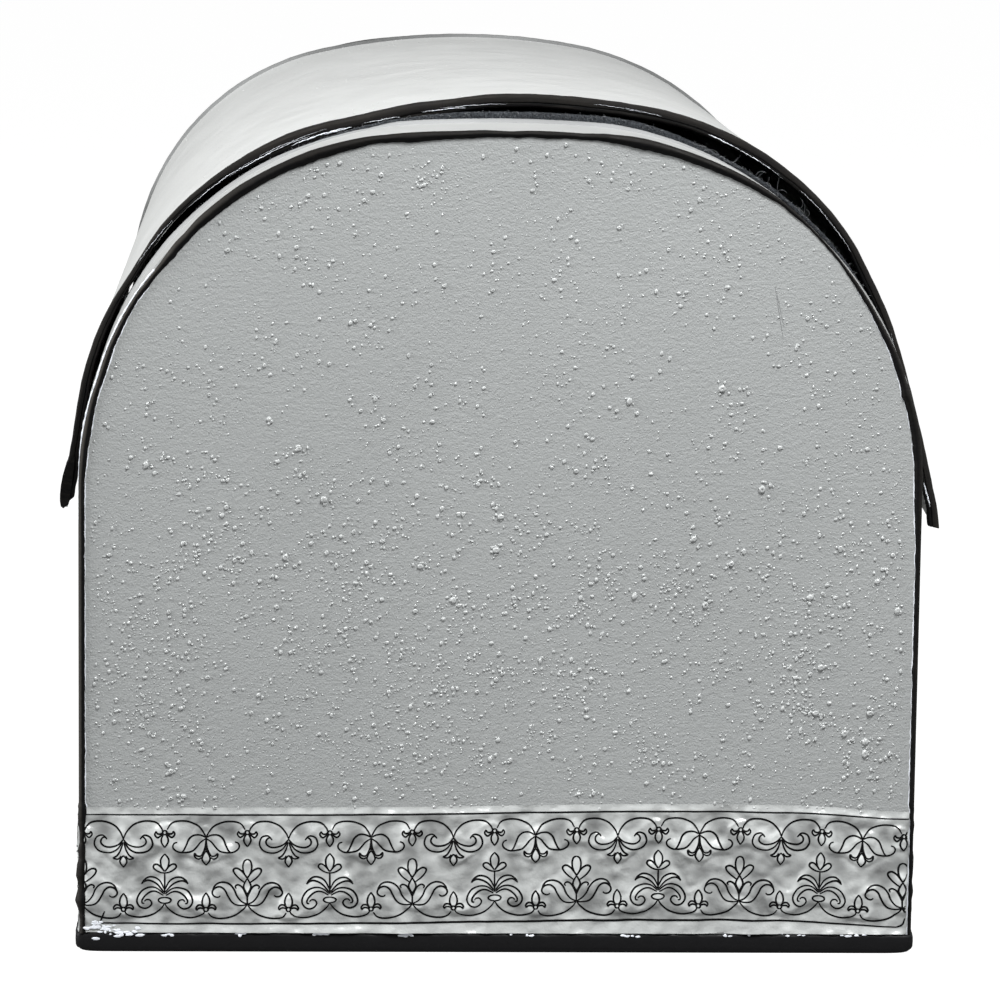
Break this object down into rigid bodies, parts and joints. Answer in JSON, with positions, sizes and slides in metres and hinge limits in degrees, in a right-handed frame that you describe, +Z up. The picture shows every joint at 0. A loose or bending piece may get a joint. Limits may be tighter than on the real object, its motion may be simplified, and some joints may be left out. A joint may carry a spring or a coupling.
{
  "type": "metal storage box",
  "caption": "Arched painted steel storage box with black beaded ends, an ornamental border round its foot and a curved lid hinged along one long side.",
  "frame": {"origin": "middle of the base, on the surface that the box stands on", "axes": "+Z up, +Y along the box from the pictured end to the far end, +X from the finger lip to the hinge side"},
  "size_m": [0.2186, 0.3612, 0.2029],
  "materials": {
    "grey_paint": "satin grey paint with fine grain and small blisters",
    "pale_paint": "satin off-white paint",
    "black_paint": "glossy black, brushed on by hand",
    "border_relief": "satin grey relief with dark drawn ornament",
    "seat_felt": "black felt with a frayed edge",
    "hinge_steel": "zinc plated, slightly dull",
    "pin_steel": "drawn wire",
    "rivet_steel": "domed, slightly dull"
  },
  "bodies": {
    "box": {"base_pan": "black_paint", "front_wall": "pale_paint", "back_wall": "pale_paint", "near_end_panel": "grey_paint", "far_end_panel": "grey_paint", "near_end_bead": "black_paint", "far_end_bead": "black_paint", "near_arch_band": "pale_paint", "far_arch_band": "pale_paint", "near_seat_strip": "seat_felt", "far_seat_strip": "seat_felt", "near_border_band": "border_relief", "far_border_band": "border_relief", "front_border_band": "border_relief", "back_border_band": "border_relief", "near_hinge_body_leaf": "hinge_steel", "far_hinge_body_leaf": "hinge_steel", "near_hinge_pin": "pin_steel", "far_hinge_pin": "pin_steel", "body_leaf_rivets": "rivet_steel"},
    "lid": {"lid_sheet": "pale_paint", "lid_near_rim": "black_paint", "lid_far_rim": "black_paint", "lid_front_lip": "black_paint", "near_hinge_lid_leaf": "hinge_steel", "far_hinge_lid_leaf": "hinge_steel"}
  },
  "joints": [
    {"name": "lid_hinge", "type": "hinge", "parent": "box", "child": "lid", "pos_m": [0.10375, 0, 0.10224], "axis": [0, 1, 0], "range_deg": [0, 95]}
  ]
}
